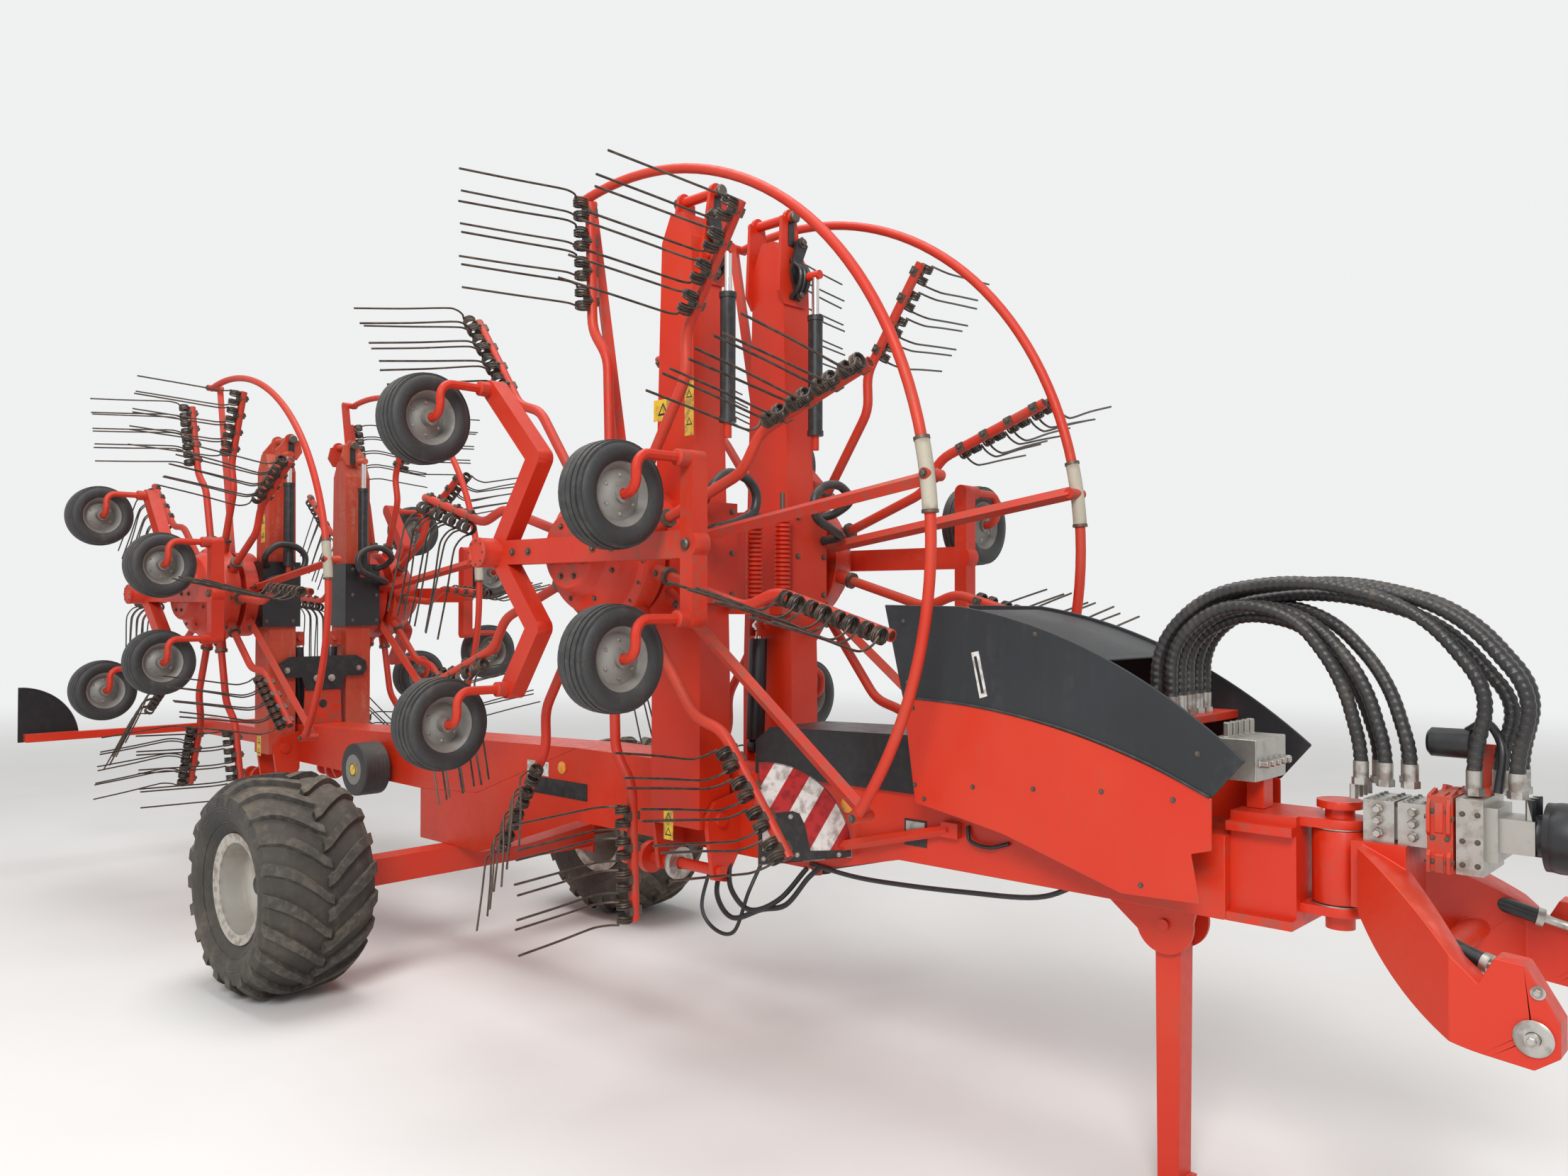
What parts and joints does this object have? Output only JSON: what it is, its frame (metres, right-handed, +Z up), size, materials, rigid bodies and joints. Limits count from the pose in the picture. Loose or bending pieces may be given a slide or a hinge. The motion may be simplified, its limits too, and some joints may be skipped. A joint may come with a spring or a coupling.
{
  "type": "folded four-rotor hay rake",
  "caption": "Towed rotary rake folded for road transport: rotors upright on lift arms along a long beam, on two wide wheels.",
  "frame": {"origin": "on the ground at the middle of the footprint", "axes": "+X towards the hitch at the front, +Y to the left, +Z up"},
  "size_m": [9.866, 2.98, 4.0768],
  "materials": {
    "red": "satin red paint, worn and dusty",
    "black": "satin black",
    "tyre": "dusty rubber",
    "rim": "silver paint",
    "chrome": "hard chrome rod",
    "board": "red and white stripes",
    "pump": "red casting"
  },
  "bodies": {
    "chassis": {"axle": "red", "main_beam": "red", "rear_beam": "red", "headstock": "red", "hood_core": "red", "side_shields": "red", "side_covers": "black", "hoses": "black", "stand_bracket": "red", "front_boards": "board", "rear_carrier": "red", "front_brackets": "red", "rear_brackets": "red"},
    "hitch": {"hitch_frame": "red", "pump_unit": "pump"},
    "stand": {"stand": "red"},
    "wheel_right": {"tyre_right": "tyre", "rim_right": "rim"},
    "wheel_left": {"tyre_left": "tyre", "rim_left": "rim"},
    "front_arm_right": {"front_arm_right": "red"},
    "front_carriage_right": {"front_frame_right": "red", "front_hoop_right": "red"},
    "front_rotor_right": {"front_rotor_right": "red"},
    "front_cylinder_right": {"front_barrel_right": "black"},
    "front_piston_right": {"front_rod_right": "chrome"},
    "front_wheel_a_right": {"front_wheel_a_right": "tyre"},
    "front_wheel_b_right": {"front_wheel_b_right": "tyre"},
    "front_wheel_c_right": {"front_wheel_c_right": "tyre"},
    "front_wheel_d_right": {"front_wheel_d_right": "tyre"},
    "front_arm_left": {"front_arm_left": "red"},
    "front_carriage_left": {"front_frame_left": "red", "front_hoop_left": "red"},
    "front_rotor_left": {"front_rotor_left": "red"},
    "front_cylinder_left": {"front_barrel_left": "black"},
    "front_piston_left": {"front_rod_left": "chrome"},
    "front_wheel_a_left": {"front_wheel_a_left": "tyre"},
    "front_wheel_b_left": {"front_wheel_b_left": "tyre"},
    "front_wheel_c_left": {"front_wheel_c_left": "tyre"},
    "front_wheel_d_left": {"front_wheel_d_left": "tyre"},
    "rear_arm_right": {"rear_arm_right": "red"},
    "rear_carriage_right": {"rear_frame_right": "red", "rear_hoop_right": "red"},
    "rear_rotor_right": {"rear_rotor_right": "red"},
    "rear_cylinder_right": {"rear_barrel_right": "black"},
    "rear_piston_right": {"rear_rod_right": "chrome"},
    "rear_wheel_a_right": {"rear_wheel_a_right": "tyre"},
    "rear_wheel_b_right": {"rear_wheel_b_right": "tyre"},
    "rear_wheel_c_right": {"rear_wheel_c_right": "tyre"},
    "rear_wheel_d_right": {"rear_wheel_d_right": "tyre"},
    "rear_arm_left": {"rear_arm_left": "red"},
    "rear_carriage_left": {"rear_frame_left": "red", "rear_hoop_left": "red"},
    "rear_rotor_left": {"rear_rotor_left": "red"},
    "rear_cylinder_left": {"rear_barrel_left": "black"},
    "rear_piston_left": {"rear_rod_left": "chrome"},
    "rear_wheel_a_left": {"rear_wheel_a_left": "tyre"},
    "rear_wheel_b_left": {"rear_wheel_b_left": "tyre"},
    "rear_wheel_c_left": {"rear_wheel_c_left": "tyre"},
    "rear_wheel_d_left": {"rear_wheel_d_left": "tyre"}
  },
  "joints": [
    {"name": "wheel_right_spin", "type": "hinge", "parent": "chassis", "child": "wheel_right", "pos_m": [-0.825, -1.19, 0.585], "axis": [0, 1, 0], "continuous": true},
    {"name": "wheel_left_spin", "type": "hinge", "parent": "chassis", "child": "wheel_left", "pos_m": [-0.825, 1.19, 0.585], "axis": [0, 1, 0], "continuous": true},
    {"name": "hitch_yaw", "type": "hinge", "parent": "chassis", "child": "hitch", "pos_m": [4.245, 0, 1.245], "axis": [0, 0, 1], "range_deg": [-40, 40]},
    {"name": "stand_fold", "type": "hinge", "parent": "chassis", "child": "stand", "pos_m": [3.675, 0, 0.96], "axis": [0, 1, 0], "range_deg": [0, 90]},
    {"name": "front_right_fold", "type": "hinge", "parent": "chassis", "child": "front_arm_right", "pos_m": [1.465, -0.3, 1.11], "axis": [1, 0, 0], "range_deg": [0, 90]},
    {"name": "front_right_slide", "type": "slide", "parent": "front_arm_right", "child": "front_carriage_right", "axis": [0, 0, 1], "range_m": [0, 1]},
    {"name": "front_right_rotor_spin", "type": "hinge", "parent": "front_carriage_right", "child": "front_rotor_right", "pos_m": [1.275, -0.62, 2.32], "axis": [0, 1, 0], "continuous": true},
    {"name": "front_right_cylinder_tilt", "type": "hinge", "parent": "chassis", "child": "front_cylinder_right", "pos_m": [1.465, -0.125, 1.39], "axis": [1, 0, 0], "range_deg": [0, 94.67]},
    {"name": "front_right_cylinder_stroke", "type": "slide", "parent": "front_cylinder_right", "child": "front_piston_right", "axis": [0, -0.0423, 0.9991], "range_m": [0, 0.46263]},
    {"name": "front_wheel_a_right_spin", "type": "hinge", "parent": "front_carriage_right", "child": "front_wheel_a_right", "pos_m": [2.015, -1.215, 2.5], "axis": [1, 0, 0], "continuous": true},
    {"name": "front_wheel_b_right_spin", "type": "hinge", "parent": "front_carriage_right", "child": "front_wheel_b_right", "pos_m": [2.015, -1.215, 1.88], "axis": [1, 0, 0], "continuous": true},
    {"name": "front_wheel_c_right_spin", "type": "hinge", "parent": "front_carriage_right", "child": "front_wheel_c_right", "pos_m": [0.655, -1.215, 2.93], "axis": [1, 0, 0], "continuous": true},
    {"name": "front_wheel_d_right_spin", "type": "hinge", "parent": "front_carriage_right", "child": "front_wheel_d_right", "pos_m": [0.805, -1.215, 1.55], "axis": [1, 0, 0], "continuous": true},
    {"name": "front_left_fold", "type": "hinge", "parent": "chassis", "child": "front_arm_left", "pos_m": [1.465, 0.3, 1.11], "axis": [-1, 0, 0], "range_deg": [0, 90]},
    {"name": "front_left_slide", "type": "slide", "parent": "front_arm_left", "child": "front_carriage_left", "axis": [0, 0, 1], "range_m": [0, 1]},
    {"name": "front_left_rotor_spin", "type": "hinge", "parent": "front_carriage_left", "child": "front_rotor_left", "pos_m": [1.275, 0.62, 2.32], "axis": [0, 1, 0], "continuous": true},
    {"name": "front_left_cylinder_tilt", "type": "hinge", "parent": "chassis", "child": "front_cylinder_left", "pos_m": [1.465, 0.125, 1.39], "axis": [-1, 0, 0], "range_deg": [0, 94.67]},
    {"name": "front_left_cylinder_stroke", "type": "slide", "parent": "front_cylinder_left", "child": "front_piston_left", "axis": [0, 0.0423, 0.9991], "range_m": [0, 0.46263]},
    {"name": "front_wheel_a_left_spin", "type": "hinge", "parent": "front_carriage_left", "child": "front_wheel_a_left", "pos_m": [2.015, 1.215, 2.5], "axis": [1, 0, 0], "continuous": true},
    {"name": "front_wheel_b_left_spin", "type": "hinge", "parent": "front_carriage_left", "child": "front_wheel_b_left", "pos_m": [2.015, 1.215, 1.88], "axis": [1, 0, 0], "continuous": true},
    {"name": "front_wheel_c_left_spin", "type": "hinge", "parent": "front_carriage_left", "child": "front_wheel_c_left", "pos_m": [0.655, 1.215, 2.93], "axis": [1, 0, 0], "continuous": true},
    {"name": "front_wheel_d_left_spin", "type": "hinge", "parent": "front_carriage_left", "child": "front_wheel_d_left", "pos_m": [0.805, 1.215, 1.55], "axis": [1, 0, 0], "continuous": true},
    {"name": "rear_right_fold", "type": "hinge", "parent": "chassis", "child": "rear_arm_right", "pos_m": [-2.945, -0.28, 1.06], "axis": [1, 0, 0], "range_deg": [0, 90]},
    {"name": "rear_right_slide", "type": "slide", "parent": "rear_arm_right", "child": "rear_carriage_right", "axis": [0, 0, 1], "range_m": [0, 0.72]},
    {"name": "rear_right_rotor_spin", "type": "hinge", "parent": "rear_carriage_right", "child": "rear_rotor_right", "pos_m": [-3.155, -0.62, 2.15], "axis": [0, 1, 0], "continuous": true},
    {"name": "rear_right_cylinder_tilt", "type": "hinge", "parent": "chassis", "child": "rear_cylinder_right", "pos_m": [-2.945, -0.11, 1.28], "axis": [1, 0, 0], "range_deg": [0, 92.19]},
    {"name": "rear_right_cylinder_stroke", "type": "slide", "parent": "rear_cylinder_right", "child": "rear_piston_right", "axis": [0, -0.0363, 0.9993], "range_m": [0, 0.39234]},
    {"name": "rear_wheel_a_right_spin", "type": "hinge", "parent": "rear_carriage_right", "child": "rear_wheel_a_right", "pos_m": [-2.535, -1.215, 2.33], "axis": [1, 0, 0], "continuous": true},
    {"name": "rear_wheel_b_right_spin", "type": "hinge", "parent": "rear_carriage_right", "child": "rear_wheel_b_right", "pos_m": [-2.535, -1.215, 1.71], "axis": [1, 0, 0], "continuous": true},
    {"name": "rear_wheel_c_right_spin", "type": "hinge", "parent": "rear_carriage_right", "child": "rear_wheel_c_right", "pos_m": [-3.675, -1.215, 2.7], "axis": [1, 0, 0], "continuous": true},
    {"name": "rear_wheel_d_right_spin", "type": "hinge", "parent": "rear_carriage_right", "child": "rear_wheel_d_right", "pos_m": [-3.575, -1.215, 1.48], "axis": [1, 0, 0], "continuous": true},
    {"name": "rear_left_fold", "type": "hinge", "parent": "chassis", "child": "rear_arm_left", "pos_m": [-2.945, 0.28, 1.06], "axis": [-1, 0, 0], "range_deg": [0, 90]},
    {"name": "rear_left_slide", "type": "slide", "parent": "rear_arm_left", "child": "rear_carriage_left", "axis": [0, 0, 1], "range_m": [0, 0.72]},
    {"name": "rear_left_rotor_spin", "type": "hinge", "parent": "rear_carriage_left", "child": "rear_rotor_left", "pos_m": [-3.155, 0.62, 2.15], "axis": [0, 1, 0], "continuous": true},
    {"name": "rear_left_cylinder_tilt", "type": "hinge", "parent": "chassis", "child": "rear_cylinder_left", "pos_m": [-2.945, 0.11, 1.28], "axis": [-1, 0, 0], "range_deg": [0, 92.19]},
    {"name": "rear_left_cylinder_stroke", "type": "slide", "parent": "rear_cylinder_left", "child": "rear_piston_left", "axis": [0, 0.0363, 0.9993], "range_m": [0, 0.39234]},
    {"name": "rear_wheel_a_left_spin", "type": "hinge", "parent": "rear_carriage_left", "child": "rear_wheel_a_left", "pos_m": [-2.535, 1.215, 2.33], "axis": [1, 0, 0], "continuous": true},
    {"name": "rear_wheel_b_left_spin", "type": "hinge", "parent": "rear_carriage_left", "child": "rear_wheel_b_left", "pos_m": [-2.535, 1.215, 1.71], "axis": [1, 0, 0], "continuous": true},
    {"name": "rear_wheel_c_left_spin", "type": "hinge", "parent": "rear_carriage_left", "child": "rear_wheel_c_left", "pos_m": [-3.675, 1.215, 2.7], "axis": [1, 0, 0], "continuous": true},
    {"name": "rear_wheel_d_left_spin", "type": "hinge", "parent": "rear_carriage_left", "child": "rear_wheel_d_left", "pos_m": [-3.575, 1.215, 1.48], "axis": [1, 0, 0], "continuous": true}
  ],
  "couplings": [
    {"joint": "front_right_slide", "follows": "front_right_fold", "m_per_rad": 0.63656},
    {"joint": "front_right_cylinder_tilt", "follows": "front_right_fold", "ratio": 1.0518},
    {"joint": "front_right_cylinder_stroke", "follows": "front_right_fold", "m_per_rad": 0.29445},
    {"joint": "front_left_slide", "follows": "front_left_fold", "m_per_rad": 0.63656},
    {"joint": "front_left_cylinder_tilt", "follows": "front_left_fold", "ratio": 1.0518},
    {"joint": "front_left_cylinder_stroke", "follows": "front_left_fold", "m_per_rad": 0.29445},
    {"joint": "rear_right_slide", "follows": "rear_right_fold", "m_per_rad": 0.45832},
    {"joint": "rear_right_cylinder_tilt", "follows": "rear_right_fold", "ratio": 1.0242},
    {"joint": "rear_right_cylinder_stroke", "follows": "rear_right_fold", "m_per_rad": 0.24971},
    {"joint": "rear_left_slide", "follows": "rear_left_fold", "m_per_rad": 0.45832},
    {"joint": "rear_left_cylinder_tilt", "follows": "rear_left_fold", "ratio": 1.0242},
    {"joint": "rear_left_cylinder_stroke", "follows": "rear_left_fold", "m_per_rad": 0.24971}
  ]
}
